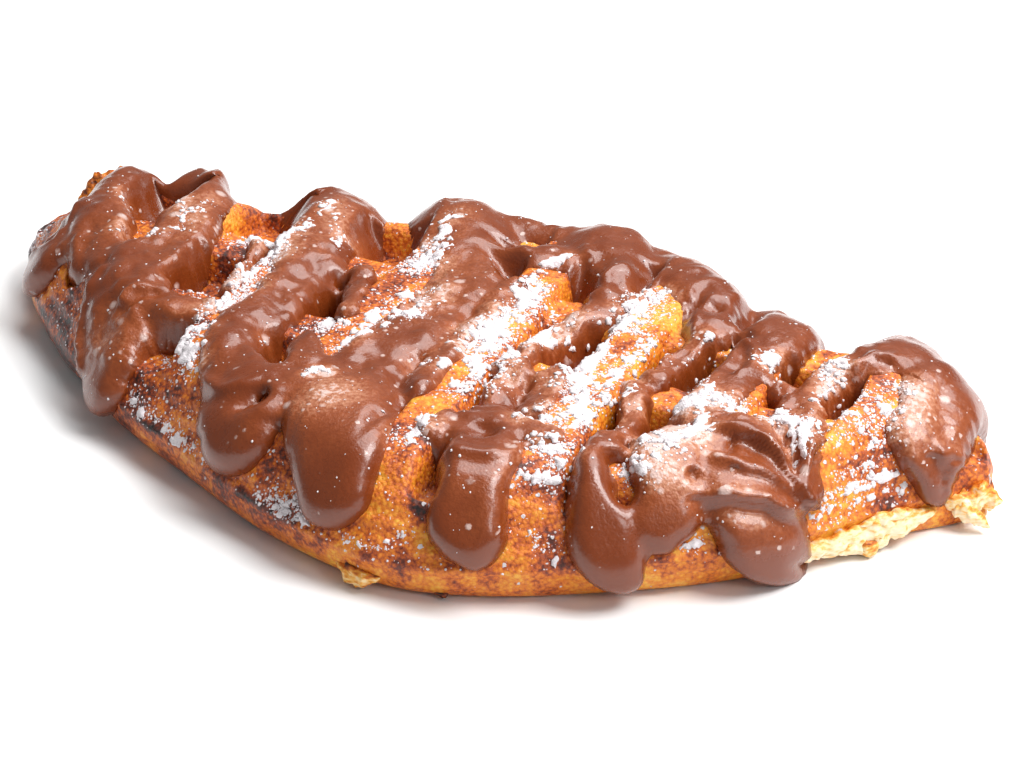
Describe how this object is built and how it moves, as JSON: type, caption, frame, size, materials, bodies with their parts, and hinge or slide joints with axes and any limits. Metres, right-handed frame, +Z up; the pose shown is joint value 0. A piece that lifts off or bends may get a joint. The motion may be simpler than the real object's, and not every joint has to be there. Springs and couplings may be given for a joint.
{
  "type": "croffle",
  "caption": "Croissant pressed flat in a waffle iron, with thick chocolate spread running over its ridges and a dusting of icing sugar.",
  "frame": {"origin": "on the flat underside, on the pressed ridge at x = 0, halfway between two of the lower bars that cross the ridges", "axes": "+X along the croissant, from its blunt end to its torn tip; +Y toward its straighter side; +Z up"},
  "size_m": [0.1914, 0.1091, 0.0239],
  "materials": {
    "crust": "baked golden brown laminated crust, darker along the pressed edges, half glossy where it caramelised",
    "chocolate_spread": "milk brown chocolate and hazelnut spread, smooth and softly glossy",
    "icing_sugar": "dry white icing sugar, matt and clumped",
    "dough": "pale yellow layers of torn laminated dough"
  },
  "bodies": {
    "root": {"croffle": "crust"}
  },
  "joints": []
}
